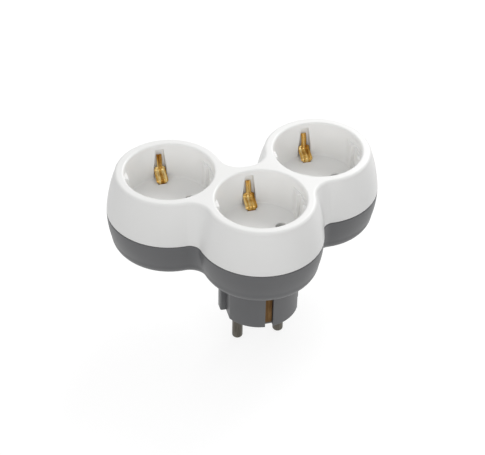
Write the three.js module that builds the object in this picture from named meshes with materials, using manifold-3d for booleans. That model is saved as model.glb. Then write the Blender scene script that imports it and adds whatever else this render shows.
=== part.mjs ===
// Triple socket adapter: an earthed plug below, three earthed sockets on top.
// Millimetres, +Z up. The origin is the centre of the plug's engagement face,
// +Z points from the plug to the sockets, X runs along the pins, and the two
// rear sockets lie towards +Y. The adapter mirrors itself across the YZ plane.

import * as THREE from 'three';
import { mergeVertices } from 'three/addons/utils/BufferGeometryUtils.js';
import Module from 'manifold-3d';

const wasm = await Module();
wasm.setup();

// Layout of the three sockets
const SOCKET_PITCH = 43.7;
const FORK_HALF_ANGLE_DEG = 50.45;

// Heights
const PLUG_BODY_HEIGHT = 20.4;
const HOUSING_HEIGHT = 18.0;
const COVER_HEIGHT = 20.3;

// Outer shape: three round lobes joined by hollow necks, widest at the parting
const BELLY_RADIUS = 27.86;
const NECK_RADIUS = 5.2;
const COVER_DRAFT_DEG = 3.75;
const COVER_SIDE_CURVE = 67;
const HOUSING_SIDE_CURVE = 46;
const TOP_EDGE_FILLET = 1.6;
const BOTTOM_EDGE_FILLET = 6.0;

// Facets of the round shapes
const LOBE_FACETS = 18;
const FRONT_FACETS = 6;
const NECK_FACETS = 4;
const WELL_FACETS = 32;
const ROUND_FACETS = 16;
const HOLE_FACETS = 12;

// Walls of the two shells
const SHELL_WALL = 2.4;
const TOP_WALL = 2.2;
const BOTTOM_WALL = 1.5;
const TONGUE_WALL = 1.0;
const TONGUE_HEIGHT = 1.9;

// Socket wells
const WELL_DEPTH = 17.5;
const WELL_MOUTH_RADIUS = 19.6;
const WELL_FLOOR_RADIUS = 18.9;
const WELL_FLOOR_WALL = 1.8;
const WELL_SIDE_WALL = 1.6;
const WELL_FLOOR_FILLET = 0.8;
const RIM_FILLET = 1.0;

// Guide lands inside each well, two on each side of a groove
const LAND_INNER_X = 17.1;
const LAND_START_Y = 3.8;
const LAND_END_Y = 9.3;
const LAND_TOP_DEPTH = 4.2;
const GROOVE_X = 18.7;

// Pins and pin holes
const PIN_SPACING = 19.0;
const PIN_RADIUS = 2.4;
const PIN_LENGTH = 19.0;
const PIN_TIP_ROUND = 1.1;
const PIN_HOLE_CLEARANCE = 0.2;
const PIN_HOLE_CHAMFER = 0.3;
const PIN_FLANGE_RADIUS = 3.6;
const PIN_FLANGE_HEIGHT = 1.2;
const PIN_TAIL_RADIUS = 1.5;
const PIN_TAIL_LENGTH = 2.4;
const PIN_BOSS_HEIGHT = 8.7;
const PIN_BOSS_WALL = 2.0;

// Plug body
const PLUG_RADIUS = 17.75;
const PLUG_FLAT_X = 15.6;
const PLUG_RIB_X = 18.1;
const PLUG_RIB_HALF_WIDTH = 2.3;
const PLUG_RIB_ROUND = 0.8;
const PLUG_WALL = 2.0;
const PLUG_FACE_WALL = 2.5;
const EARTH_SLOT_WIDTH = 3.6;
const EARTH_SLOT_DEPTH = 2.3;

// Earth contacts of the plug
const EARTH_STRIP_WIDTH = 3.0;
const EARTH_STRIP_THICKNESS = 0.8;
const EARTH_STRIP_RECESS = 1.2;
const EARTH_STRIP_START = 1.8;

// Earth clips of the sockets
const CLIP_THICKNESS = 0.6;
const CLIP_TONGUE_WIDTH = 2.4;
const CLIP_WIDTH = 5.2;
const CLIP_TOP_DEPTH = 6.4;
const CLIP_SHOULDER_DEPTH = 12.8;
const CLIP_ROOT_Y = 14.2;
const CLIP_REACH = 3.0;
const CLIP_NOSE_HEIGHT = 1.2;
const CLIP_FOLD_HEIGHT = 1.8;
const CLIP_FOLD_SET = 0.9;
const CLIP_NOSE_LENGTH = 1.2;
const CLIP_TONGUE_LEAN = 0.6;
const CLIP_SHOULDER_LEAN = 1.3;
const CLIP_TONGUE_OVERLAP = 0.6;
const RECESS_TOP_DEPTH = 2.5;
const RECESS_TOP_WIDTH = 3.7;
const RECESS_LOW_WIDTH = 6.0;
const RECESS_FLOOR_Y = 21.7;
const RECESS_WALL = 1.2;

// Stack of plates between the wells and the plug
const CLEARANCE = 0.3;
const EARTH_FRAME_THICKNESS = 0.8;
const EARTH_BAR_WIDTH = 8.0;
const CARRIER_THICKNESS = 1.5;
const BUS_THICKNESS = 1.0;
const BUS_WIDTH = 3.2;
const BUS_PAD_RADIUS = 4.5;
const BUS_BYPASS = 9.6;
const BUS_NECK_SHIFT = 2.2;
const CONTACT_THICKNESS = 0.6;
const CONTACT_WIDTH = 5.0;
const CONTACT_BASE = 8.4;
const CONTACT_LENGTH = 8.0;
const CONTACT_PINCH = 0.2;
const STRAP_WIDTH = 6.0;
const STRAP_THICKNESS = 0.8;
const STRAP_LUG = 3.2;

// Four screws from below, in the necks beside the wells
const SCREW_OFFSET = 9.0;
const SCREW_RADIUS = 1.3;
const SCREW_LENGTH = 20.0;
const SCREW_HEAD_RADIUS = 2.5;
const SCREW_HEAD_HEIGHT = 2.0;
const SCREW_HEAD_FACE_RADIUS = 2.1;
const SCREW_HEAD_DEPTH = 6.0;
const SCREW_SLOT_WIDTH = 0.8;
const SCREW_SLOT_DEPTH = 1.1;
const SCREW_SLOT_REACH = 1.6;
const BOSS_WALL = 1.2;
const BOSS_STEP = 0.8;

// Heights and places that follow from the values above
const BOTTOM_Z = PLUG_BODY_HEIGHT;
const PARTING_Z = BOTTOM_Z + HOUSING_HEIGHT;
const TOP_Z = PARTING_Z + COVER_HEIGHT;
const WELL_FLOOR_Z = TOP_Z - WELL_DEPTH;
const WELL_UNDERSIDE_Z = WELL_FLOOR_Z - WELL_FLOOR_WALL;
const HOUSING_FLOOR_Z = BOTTOM_Z + BOTTOM_WALL;
const CLIP_FOOT_TOP_Z = WELL_UNDERSIDE_Z - CLEARANCE;
const CLIP_FOOT_Z = CLIP_FOOT_TOP_Z - CLIP_THICKNESS;
const FRAME_TOP_Z = CLIP_FOOT_Z - CLEARANCE;
const FRAME_Z = FRAME_TOP_Z - EARTH_FRAME_THICKNESS;
const CARRIER_TOP_Z = FRAME_Z - CLEARANCE;
const CARRIER_Z = CARRIER_TOP_Z - CARRIER_THICKNESS;
const BUS_TOP_Z = CARRIER_Z - CLEARANCE;
const BUS_Z = BUS_TOP_Z - BUS_THICKNESS;
const CONTACT_TOP_Z = BUS_Z - CLEARANCE;
const PIN_FLANGE_Z = PIN_BOSS_HEIGHT + CLEARANCE;
const PIN_TAIL_Z = PIN_FLANGE_Z + PIN_FLANGE_HEIGHT;
const SCREW_SEAT_Z = BOTTOM_Z + SCREW_HEAD_DEPTH;
const PIN_X = PIN_SPACING / 2;
const PIN_HOLE_RADIUS = PIN_RADIUS + PIN_HOLE_CLEARANCE;
const STRAP_CORNER_X = PIN_X + STRAP_WIDTH / 2;
const PLUG_ROOM_RADIUS = PLUG_RADIUS - PLUG_WALL;
const STRAP_ROOM_Y = Math.sqrt(PLUG_ROOM_RADIUS ** 2 - STRAP_CORNER_X ** 2);
const STRAP_OFFSET = STRAP_ROOM_Y - 3 * CLEARANCE - STRAP_THICKNESS;
const RECESS_START_Y = WELL_FLOOR_RADIUS - WELL_SIDE_WALL;

const FORK_ANGLE = THREE.MathUtils.degToRad(FORK_HALF_ANGLE_DEG);
const REAR_X = SOCKET_PITCH * Math.sin(FORK_ANGLE);
const REAR_Y = SOCKET_PITCH * Math.cos(FORK_ANGLE);
const FRONT = new THREE.Vector2(0, 0);
const RIGHT = new THREE.Vector2(REAR_X, REAR_Y);
const LEFT = new THREE.Vector2(-REAR_X, REAR_Y);
const SOCKETS = { front: FRONT, left: LEFT, right: RIGHT };

// Materials

function plastic(color, roughness) {
  return new THREE.MeshStandardMaterial({ color, roughness, metalness: 0 });
}

function metal(color, roughness) {
  return new THREE.MeshStandardMaterial({ color, roughness, metalness: 1 });
}

const whitePlastic = () => plastic(0xf0f0ee, 0.35);
const greyPlastic = () => plastic(0x6b6c6f, 0.42);
const carrierPlastic = () => plastic(0x2c2d2f, 0.6);
const brass = () => metal(0xc89b4a, 0.3);
const nickel = () => metal(0x9a968c, 0.35);
const steel = () => metal(0xb8bac0, 0.35);

// Solids: a closed geometry becomes a manifold for joining and cutting

function solid(geometry) {
  const bare = geometry.clone();
  bare.deleteAttribute('normal');
  if (bare.hasAttribute('uv')) bare.deleteAttribute('uv');
  const merged = mergeVertices(bare, 1e-4);
  const triangles = [];
  const index = merged.index.array;
  for (let i = 0; i < index.length; i += 3) {
    const [a, b, c] = [index[i], index[i + 1], index[i + 2]];
    if (a !== b && b !== c && c !== a) triangles.push(a, b, c);
  }
  return new wasm.Manifold(new wasm.Mesh({
    numProp: 3,
    vertProperties: new Float32Array(merged.attributes.position.array),
    triVerts: new Uint32Array(triangles),
  }));
}

function geometryOf(manifold) {
  const mesh = manifold.getMesh();
  const geometry = new THREE.BufferGeometry();
  geometry.setAttribute('position', new THREE.BufferAttribute(new Float32Array(mesh.vertProperties), 3));
  geometry.setIndex(new THREE.BufferAttribute(new Uint32Array(mesh.triVerts), 1));
  geometry.computeVertexNormals();
  return geometry;
}

function joined(parts) {
  return parts.reduce((sum, part) => sum.add(part));
}

function cut(body, tools) {
  return tools.reduce((rest, tool) => rest.subtract(tool), body);
}

function block(x0, x1, y0, y1, z0, z1) {
  const geometry = new THREE.BoxGeometry(x1 - x0, y1 - y0, z1 - z0);
  geometry.translate((x0 + x1) / 2, (y0 + y1) / 2, (z0 + z1) / 2);
  return solid(geometry);
}

function post(radius, z0, z1, at = FRONT, sides = ROUND_FACETS) {
  const geometry = new THREE.CylinderGeometry(radius, radius, z1 - z0, sides);
  geometry.rotateX(Math.PI / 2);
  geometry.translate(at.x, at.y, (z0 + z1) / 2);
  return solid(geometry);
}

// A turned solid about +Z from a profile of [radius, z] that starts and ends on the axis
function turned(profile, sides, at = FRONT) {
  const points = profile.map(([r, z]) => new THREE.Vector2(r, z));
  const geometry = new THREE.LatheGeometry(points, sides);
  geometry.rotateX(Math.PI / 2);
  geometry.translate(at.x, at.y, 0);
  return solid(geometry);
}

// A flat outline of [x, y] points raised from z0 to z1
function raised(points, z0, z1) {
  const shape = new THREE.Shape(points.map(([x, y]) => new THREE.Vector2(x, y)));
  const geometry = new THREE.ExtrudeGeometry(shape, { depth: z1 - z0, bevelEnabled: false });
  geometry.translate(0, 0, z0);
  return solid(geometry);
}

// A side outline of [y, z] points given a width along X, centred on x
function folded(points, width, x = 0) {
  const shape = new THREE.Shape(points.map(([y, z]) => new THREE.Vector2(y, z)));
  const geometry = new THREE.ExtrudeGeometry(shape, { depth: width, bevelEnabled: false });
  geometry.translate(0, 0, -width / 2);
  geometry.rotateX(Math.PI / 2);
  geometry.rotateZ(Math.PI / 2);
  geometry.translate(x, 0, 0);
  return solid(geometry);
}

// The outline of a strip of the given thickness along a centre line of [y, z] points
function stripOutline(path, thickness) {
  const half = thickness / 2;
  const points = path.map(([y, z]) => new THREE.Vector2(y, z));
  const sides = [[], []];
  points.forEach((point, i) => {
    const before = points[Math.max(i - 1, 0)];
    const after = points[Math.min(i + 1, points.length - 1)];
    const a = point.clone().sub(before).normalize();
    const b = after.clone().sub(point).normalize();
    const along = a.clone().add(b).normalize();
    const normal = new THREE.Vector2(-along.y, along.x);
    const leg = a.lengthSq() > 0 ? a : b;
    const stretch = half / Math.abs(normal.dot(new THREE.Vector2(-leg.y, leg.x)));
    sides[0].push([point.x + normal.x * stretch, point.y + normal.y * stretch]);
    sides[1].unshift([point.x - normal.x * stretch, point.y - normal.y * stretch]);
  });
  return [...sides[0], ...sides[1]];
}

// Outline of the adapter: arcs round the sockets, joined by concave arcs in the necks.
// Every level shares the same arc centres, so all levels are offsets of each other.

const NECK_REACH = BELLY_RADIUS + NECK_RADIUS;
const HALF_PITCH = SOCKET_PITCH / 2;
const NECK_MIDDLE = RIGHT.clone().multiplyScalar(0.5);
const NECK_NORMAL = new THREE.Vector2(Math.cos(FORK_ANGLE), -Math.sin(FORK_ANGLE));
const NECK_SHIFT = Math.sqrt(NECK_REACH ** 2 - HALF_PITCH ** 2);
const FRONT_NECK = NECK_MIDDLE.clone().addScaledVector(NECK_NORMAL, NECK_SHIFT);
const REAR_NECK = NECK_MIDDLE.clone().addScaledVector(NECK_NORMAL, -NECK_SHIFT);

function direction(from, to) {
  return Math.atan2(to.y - from.y, to.x - from.x);
}

function arc(centre, radius, start, end, segments) {
  const points = [];
  for (let i = 0; i <= segments; i += 1) {
    const angle = start + (end - start) * (i / segments);
    points.push(new THREE.Vector2(
      centre.x + radius * Math.cos(angle),
      centre.y + radius * Math.sin(angle),
    ));
  }
  return points;
}

function outline(lobeRadius) {
  const neckRadius = NECK_REACH - lobeRadius;
  const frontTurn = direction(RIGHT, FRONT_NECK);
  let rearTurn = direction(RIGHT, REAR_NECK);
  while (rearTurn < frontTurn) rearTurn += 2 * Math.PI;
  const meets = REAR_NECK.x <= 0;
  const rearEnd = meets
    ? -Math.acos(THREE.MathUtils.clamp(-REAR_NECK.x / neckRadius, -1, 1))
    : direction(REAR_NECK, FRONT);
  let rearStart = direction(REAR_NECK, RIGHT);
  while (rearStart < rearEnd) rearStart += 2 * Math.PI;
  const frontStart = direction(FRONT_NECK, FRONT);
  let frontEnd = direction(FRONT_NECK, RIGHT);
  while (frontEnd > frontStart) frontEnd -= 2 * Math.PI;
  const half = [
    ...arc(FRONT, lobeRadius, -Math.PI / 2, direction(FRONT, FRONT_NECK), FRONT_FACETS),
    ...arc(FRONT_NECK, neckRadius, frontStart, frontEnd, NECK_FACETS).slice(1),
    ...arc(RIGHT, lobeRadius, frontTurn, rearTurn, LOBE_FACETS).slice(1),
    ...arc(REAR_NECK, neckRadius, rearStart, rearEnd, NECK_FACETS).slice(1),
  ];
  if (meets) half[half.length - 1].x = 0;
  const mirrored = half.slice(1, meets ? -1 : half.length).reverse()
    .map((point) => new THREE.Vector2(-point.x, point.y));
  return [...half, ...mirrored];
}

// A solid through levels of [z, lobe radius], from the lowest to the highest
function lofted(levels) {
  const rings = levels.map(([z, radius]) => outline(radius).map((p) => new THREE.Vector3(p.x, p.y, z)));
  const count = rings[0].length;
  const positions = rings.flat().flatMap((p) => [p.x, p.y, p.z]);
  const index = [];
  for (let level = 0; level < rings.length - 1; level += 1) {
    for (let i = 0; i < count; i += 1) {
      const a = level * count + i;
      const b = level * count + ((i + 1) % count);
      index.push(a, b, b + count, a, b + count, a + count);
    }
  }
  const last = (rings.length - 1) * count;
  THREE.ShapeUtils.triangulateShape(rings[0], []).forEach(([a, b, c]) => index.push(a, c, b));
  THREE.ShapeUtils.triangulateShape(rings[rings.length - 1], [])
    .forEach(([a, b, c]) => index.push(last + a, last + b, last + c));
  const geometry = new THREE.BufferGeometry();
  geometry.setAttribute('position', new THREE.BufferAttribute(new Float32Array(positions), 3));
  geometry.setIndex(index);
  geometry.computeVertexNormals();
  return solid(geometry);
}

function coverRadius(z) {
  const h = z - PARTING_Z;
  const lean = h * Math.tan(THREE.MathUtils.degToRad(COVER_DRAFT_DEG));
  return BELLY_RADIUS - lean - (COVER_SIDE_CURVE - Math.sqrt(COVER_SIDE_CURVE ** 2 - h ** 2));
}

function housingRadius(z) {
  const h = PARTING_Z - z;
  return BELLY_RADIUS - (HOUSING_SIDE_CURVE - Math.sqrt(HOUSING_SIDE_CURVE ** 2 - h ** 2));
}

function levelsBetween(z0, z1, count, radiusAt) {
  const levels = [];
  for (let i = 0; i <= count; i += 1) {
    const z = z0 + (z1 - z0) * (i / count);
    levels.push([z, radiusAt(z)]);
  }
  return levels;
}

// Places

const NECK_DIRECTIONS = [NECK_NORMAL.clone(), NECK_NORMAL.clone().negate()];
const SCREW_PLACES = NECK_DIRECTIONS.flatMap((normal) => {
  const right = NECK_MIDDLE.clone().addScaledVector(normal, SCREW_OFFSET);
  return [right, new THREE.Vector2(-right.x, right.y)];
});

function pinOf(socket, side) {
  return new THREE.Vector2(socket.x + side * PIN_X, socket.y);
}

const PIN_PLACES = Object.values(SOCKETS).flatMap((socket) => [pinOf(socket, -1), pinOf(socket, 1)]);

// Pieces for one socket, moved to where the socket is
function atSockets(make) {
  return Object.values(SOCKETS).flatMap((socket) => make().map((part) => part.translate([socket.x, socket.y, 0])));
}

// Top cover

function wellWallProfile() {
  const outer = WELL_MOUTH_RADIUS + WELL_SIDE_WALL;
  return [[0, WELL_UNDERSIDE_Z], [outer, WELL_UNDERSIDE_Z], [outer, TOP_Z], [0, TOP_Z]];
}

function wellProfile() {
  const f = RIM_FILLET;
  const mouth = WELL_MOUTH_RADIUS;
  return [
    [0, WELL_FLOOR_Z],
    [WELL_FLOOR_RADIUS - WELL_FLOOR_FILLET, WELL_FLOOR_Z],
    [WELL_FLOOR_RADIUS, WELL_FLOOR_Z + WELL_FLOOR_FILLET],
    [mouth, TOP_Z - f],
    [mouth + f * (1 - Math.cos(Math.PI / 4)), TOP_Z - f * (1 - Math.sin(Math.PI / 4))],
    [mouth + f, TOP_Z],
    [mouth + f, TOP_Z + f],
    [0, TOP_Z + f],
  ];
}

function recessOutline() {
  const low = WELL_FLOOR_Z;
  const shoulder = TOP_Z - CLIP_SHOULDER_DEPTH;
  const top = TOP_Z - RECESS_TOP_DEPTH;
  const wide = RECESS_LOW_WIDTH / 2;
  const narrow = RECESS_TOP_WIDTH / 2;
  return [[-wide, low], [wide, low], [wide, shoulder], [narrow, top], [-narrow, top], [-wide, shoulder]];
}

// The recess for a clip, cut into the well's wall on the side given
function recess(side) {
  const shape = new THREE.Shape(recessOutline().map(([x, z]) => new THREE.Vector2(x, z)));
  const depth = RECESS_FLOOR_Y - RECESS_START_Y;
  const geometry = new THREE.ExtrudeGeometry(shape, { depth, bevelEnabled: false });
  geometry.rotateX(Math.PI / 2);
  geometry.translate(0, side > 0 ? RECESS_FLOOR_Y : -RECESS_START_Y, 0);
  return solid(geometry);
}

function recessBacking(side) {
  const half = RECESS_LOW_WIDTH / 2 + RECESS_WALL;
  const ys = [side * RECESS_START_Y, side * (RECESS_FLOOR_Y + RECESS_WALL)].sort((a, b) => a - b);
  return block(-half, half, ys[0], ys[1], WELL_UNDERSIDE_Z, TOP_Z - TOP_WALL / 2);
}

function clipSlot(side) {
  const half = CLIP_WIDTH / 2 + CLEARANCE;
  const y0 = CLIP_ROOT_Y - CLIP_THICKNESS / 2 - CLEARANCE;
  const y1 = CLIP_ROOT_Y + CLIP_THICKNESS / 2 + CLEARANCE;
  const ys = [side * y0, side * y1].sort((a, b) => a - b);
  return block(-half, half, ys[0], ys[1], WELL_UNDERSIDE_Z - 1, WELL_FLOOR_Z + 1);
}

function guideLands() {
  const z0 = WELL_FLOOR_Z - WELL_FLOOR_WALL / 2;
  const z1 = TOP_Z - LAND_TOP_DEPTH;
  const outer = WELL_MOUTH_RADIUS + WELL_SIDE_WALL / 2;
  const ring = post(outer, z0, z1, FRONT, WELL_FACETS);
  const lands = [];
  [-1, 1].forEach((sx) => {
    const groove = [sx * GROOVE_X, sx * outer].sort((a, b) => a - b);
    lands.push(block(groove[0], groove[1], -LAND_START_Y, LAND_START_Y, z0, z1));
    [-1, 1].forEach((sy) => {
      const xs = [sx * LAND_INNER_X, sx * outer].sort((a, b) => a - b);
      const ys = [sy * LAND_START_Y, sy * LAND_END_Y].sort((a, b) => a - b);
      lands.push(block(xs[0], xs[1], ys[0], ys[1], z0, z1));
    });
  });
  return joined(lands).intersect(ring);
}

function pinHoleProfile() {
  const r = PIN_HOLE_RADIUS;
  const c = PIN_HOLE_CHAMFER;
  return [
    [0, WELL_UNDERSIDE_Z - 1],
    [r, WELL_UNDERSIDE_Z - 1],
    [r, WELL_FLOOR_Z - c],
    [r + c, WELL_FLOOR_Z],
    [r + c, WELL_FLOOR_Z + 1],
    [0, WELL_FLOOR_Z + 1],
  ];
}

function topCover() {
  const bottom = PARTING_Z + CLEARANCE / 2;
  const filletStart = TOP_Z - TOP_EDGE_FILLET;
  const shoulder = coverRadius(filletStart);
  const edge = [1, 2, 3].map((i) => {
    const angle = (i * Math.PI) / 6;
    return [filletStart + TOP_EDGE_FILLET * Math.sin(angle), shoulder - TOP_EDGE_FILLET * (1 - Math.cos(angle))];
  });
  const outside = lofted([...levelsBetween(bottom, filletStart, 4, coverRadius), ...edge]);
  const rebateTop = bottom + TONGUE_HEIGHT + CLEARANCE;
  const rebate = BELLY_RADIUS - (SHELL_WALL - TONGUE_WALL - CLEARANCE);
  const ceiling = TOP_Z - TOP_WALL;
  const hollow = lofted([
    [bottom - 1, rebate],
    [rebateTop, rebate],
    ...levelsBetween(rebateTop, ceiling, 3, (z) => coverRadius(z) - SHELL_WALL),
  ]);
  const bossRadius = SCREW_RADIUS + CLEARANCE + BOSS_WALL;
  const boreTop = SCREW_SEAT_Z + SCREW_LENGTH + CLEARANCE;
  const inside = joined([
    ...atSockets(() => [turned(wellWallProfile(), WELL_FACETS), recessBacking(1), recessBacking(-1)]),
    ...SCREW_PLACES.map((at) => post(bossRadius, bottom, TOP_Z - TOP_WALL / 2, at)),
  ]).intersect(outside);
  const shell = outside.subtract(hollow).add(inside);
  const opened = cut(shell, [
    ...atSockets(() => [turned(wellProfile(), WELL_FACETS), recess(1), recess(-1), clipSlot(1), clipSlot(-1)]),
    ...PIN_PLACES.map((at) => turned(pinHoleProfile(), ROUND_FACETS, at)),
    ...SCREW_PLACES.map((at) => post(SCREW_RADIUS + CLEARANCE, bottom - 1, boreTop, at, HOLE_FACETS)),
  ]);
  return joined([opened, ...atSockets(() => [guideLands()])]);
}

// Bottom housing with the plug body

function plugOutline() {
  const flatEnd = Math.asin(Math.sqrt(1 - (PLUG_FLAT_X / PLUG_RADIUS) ** 2));
  const rib = PLUG_RIB_HALF_WIDTH;
  const round = PLUG_RIB_ROUND;
  const quarter = [
    ...arc(new THREE.Vector2(PLUG_RIB_X - round, rib - round), round, 0, Math.PI / 2, 2),
    new THREE.Vector2(PLUG_FLAT_X, rib),
    ...arc(FRONT, PLUG_RADIUS, flatEnd, Math.PI / 2, 7),
  ].map((p) => [p.x, p.y]);
  const upper = [...quarter, ...quarter.slice(0, -1).reverse().map(([x, y]) => [-x, y])];
  return [...upper, ...upper.map(([x, y]) => [-x, -y])];
}

function plugHollow() {
  const z0 = PLUG_FACE_WALL;
  const z1 = HOUSING_FLOOR_Z + 1;
  const wide = PLUG_FLAT_X - PLUG_WALL;
  const deep = PLUG_RADIUS - EARTH_SLOT_DEPTH - PLUG_WALL;
  const slotHalf = EARTH_SLOT_WIDTH / 2 + PLUG_WALL;
  const room = post(PLUG_RADIUS - PLUG_WALL, z0, z1, FRONT, WELL_FACETS)
    .intersect(block(-wide, wide, -PLUG_RADIUS, PLUG_RADIUS, z0, z1));
  const bossRadius = PIN_RADIUS + CLEARANCE + PIN_BOSS_WALL;
  return cut(room, [
    block(-slotHalf, slotHalf, deep, PLUG_RADIUS, z0 - 1, z1 + 1),
    block(-slotHalf, slotHalf, -PLUG_RADIUS, -deep, z0 - 1, z1 + 1),
    ...[-1, 1].map((side) => post(bossRadius, z0 - 1, PIN_BOSS_HEIGHT, pinOf(FRONT, side))),
  ]);
}

function earthSlot(side) {
  const half = EARTH_SLOT_WIDTH / 2;
  const floorY = PLUG_RADIUS - EARTH_SLOT_DEPTH;
  const ys = [side * floorY, side * (PLUG_RADIUS + 1)].sort((a, b) => a - b);
  return block(-half, half, ys[0], ys[1], -1, BOTTOM_Z);
}

// Where a plug earth contact passes through a plate, with the clearance round it
function earthStripHole(side, z0, z1) {
  const half = EARTH_STRIP_WIDTH / 2 + CLEARANCE;
  const outer = PLUG_RADIUS - EARTH_STRIP_RECESS;
  const near = side * (outer - EARTH_STRIP_THICKNESS - CLEARANCE);
  const far = side * (outer + CLEARANCE);
  const ys = [near, far].sort((a, b) => a - b);
  return block(-half, half, ys[0], ys[1], z0, z1);
}

function screwBosses() {
  const outer = SCREW_RADIUS + CLEARANCE + BOSS_WALL;
  const headWall = SCREW_HEAD_RADIUS + CLEARANCE + BOSS_WALL;
  return SCREW_PLACES.flatMap((at) => [
    post(headWall, BOTTOM_Z + BOTTOM_WALL / 2, SCREW_SEAT_Z + BOSS_WALL, at),
    post(outer + BOSS_STEP, BOTTOM_Z + BOTTOM_WALL / 2, CARRIER_Z - CLEARANCE, at),
    post(outer, BOTTOM_Z + BOTTOM_WALL / 2, PARTING_Z - CLEARANCE / 2, at),
  ]);
}

function bottomHousing() {
  const top = PARTING_Z - CLEARANCE / 2;
  const filletTop = BOTTOM_Z + BOTTOM_EDGE_FILLET;
  const side = housingRadius(filletTop);
  const edge = [0, 1, 2, 3].map((i) => {
    const angle = (i * Math.PI) / 8;
    return [filletTop - BOTTOM_EDGE_FILLET * Math.cos(angle), side - BOTTOM_EDGE_FILLET * (1 - Math.sin(angle))];
  });
  const outside = lofted([...edge, ...levelsBetween(filletTop, top, 3, housingRadius)]);
  const tongue = BELLY_RADIUS - (SHELL_WALL - TONGUE_WALL);
  const tongueTop = top + TONGUE_HEIGHT;
  const rim = lofted([[top - SHELL_WALL, tongue], [tongueTop, tongue]]);
  const inner = (z) => housingRadius(z) - SHELL_WALL;
  const hollow = lofted([
    [HOUSING_FLOOR_Z, inner(filletTop) - (filletTop - HOUSING_FLOOR_Z)],
    ...levelsBetween(filletTop, top, 2, inner),
    [tongueTop + 1, inner(top)],
  ]);
  const plug = raised(plugOutline(), 0, BOTTOM_Z + BOTTOM_WALL / 2);
  const shell = joined([outside, rim]).subtract(hollow);
  const body = joined([shell, plug, ...screwBosses()]);
  return cut(body, [
    plugHollow(),
    ...[-1, 1].map((s) => earthSlot(s)),
    ...[-1, 1].map((s) => earthStripHole(s, BOTTOM_Z - 1, HOUSING_FLOOR_Z + 1)),
    ...[-1, 1].map((s) => post(PIN_RADIUS + CLEARANCE, -1, PIN_BOSS_HEIGHT + 1, pinOf(FRONT, s))),
    ...SCREW_PLACES.map((at) => post(SCREW_HEAD_RADIUS + CLEARANCE, BOTTOM_Z - 1, SCREW_SEAT_Z, at)),
    ...SCREW_PLACES.map((at) => post(SCREW_RADIUS + CLEARANCE, BOTTOM_Z, top + 1, at, HOLE_FACETS)),
  ]);
}

// Plug pins and plug earth contacts

function plugPin(at) {
  const t = PIN_TIP_ROUND;
  const tip = [0, 1, 2, 3].map((i) => {
    const angle = (i * Math.PI) / 6;
    return [PIN_RADIUS - t + t * Math.sin(angle), -PIN_LENGTH + t * (1 - Math.cos(angle))];
  });
  return turned([
    [0, -PIN_LENGTH],
    ...tip,
    [PIN_RADIUS, PIN_FLANGE_Z],
    [PIN_FLANGE_RADIUS, PIN_FLANGE_Z],
    [PIN_FLANGE_RADIUS, PIN_TAIL_Z],
    [PIN_TAIL_RADIUS, PIN_TAIL_Z],
    [PIN_TAIL_RADIUS, PIN_TAIL_Z + PIN_TAIL_LENGTH],
    [0, PIN_TAIL_Z + PIN_TAIL_LENGTH],
  ], ROUND_FACETS, at);
}

function plugEarthContact(side) {
  const half = EARTH_STRIP_WIDTH / 2;
  const outer = PLUG_RADIUS - EARTH_STRIP_RECESS;
  const bend = EARTH_STRIP_THICKNESS;
  const path = [
    [side * (outer - EARTH_STRIP_THICKNESS / 2 - CLEARANCE / 2), EARTH_STRIP_START],
    [side * (outer - EARTH_STRIP_THICKNESS / 2), EARTH_STRIP_START + bend],
    [side * (outer - EARTH_STRIP_THICKNESS / 2), FRAME_Z - CLEARANCE],
  ];
  const outlinePoints = stripOutline(path, EARTH_STRIP_THICKNESS);
  return folded(side > 0 ? outlinePoints : outlinePoints.slice().reverse(), 2 * half);
}

// Earth clips of the sockets, drawn for the side towards +Y

function clipPath() {
  const backY = RECESS_FLOOR_Y - CLIP_THICKNESS;
  const top = TOP_Z - CLIP_TOP_DEPTH;
  const shoulder = TOP_Z - CLIP_SHOULDER_DEPTH;
  const shoulderY = backY - CLIP_SHOULDER_LEAN;
  const noseY = CLIP_ROOT_Y + CLIP_NOSE_LENGTH;
  const foldY = noseY + CLIP_REACH;
  const foldZ = WELL_FLOOR_Z + CLIP_FOLD_HEIGHT;
  const footZ = CLIP_FOOT_Z + CLIP_THICKNESS / 2;
  return {
    tongue: [
      [backY, top],
      [backY - CLIP_TONGUE_LEAN, (top + shoulder) / 2],
      [shoulderY, shoulder],
      [shoulderY - CLIP_TONGUE_OVERLAP, shoulder - CLIP_THICKNESS],
    ],
    blade: [
      [shoulderY, shoulder],
      [foldY + CLIP_FOLD_SET, foldZ + CLIP_FOLD_SET],
      [foldY, foldZ],
      [noseY, WELL_FLOOR_Z + CLIP_NOSE_HEIGHT],
      [CLIP_ROOT_Y, WELL_FLOOR_Z + CLIP_NOSE_HEIGHT / 3],
      [CLIP_ROOT_Y, footZ],
      [CLIP_ROOT_Y + CLIP_REACH, footZ],
    ],
  };
}

function earthClip(socket, side) {
  const { tongue, blade } = clipPath();
  const parts = [
    folded(stripOutline(tongue, CLIP_THICKNESS).reverse(), CLIP_TONGUE_WIDTH),
    folded(stripOutline(blade, CLIP_THICKNESS).reverse(), CLIP_WIDTH),
  ];
  const clip = joined(parts);
  return (side > 0 ? clip : clip.rotate([0, 0, 180])).translate([socket.x, socket.y, 0]);
}

// Plates: earth frame, contact carrier and the two bus bars

function bar(from, to, width, z0, z1) {
  const along = to.clone().sub(from);
  const length = along.length();
  const geometry = new THREE.BoxGeometry(length, width, z1 - z0);
  geometry.rotateZ(Math.atan2(along.y, along.x));
  geometry.translate((from.x + to.x) / 2, (from.y + to.y) / 2, (z0 + z1) / 2);
  return solid(geometry);
}

function track(points, width, z0, z1) {
  const bars = points.slice(1).map((point, i) => bar(points[i], point, width, z0, z1));
  const joints = points.slice(1, -1).map((point) => post(width / 2, z0, z1, point, HOLE_FACETS));
  return joined([...bars, ...joints]);
}

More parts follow.
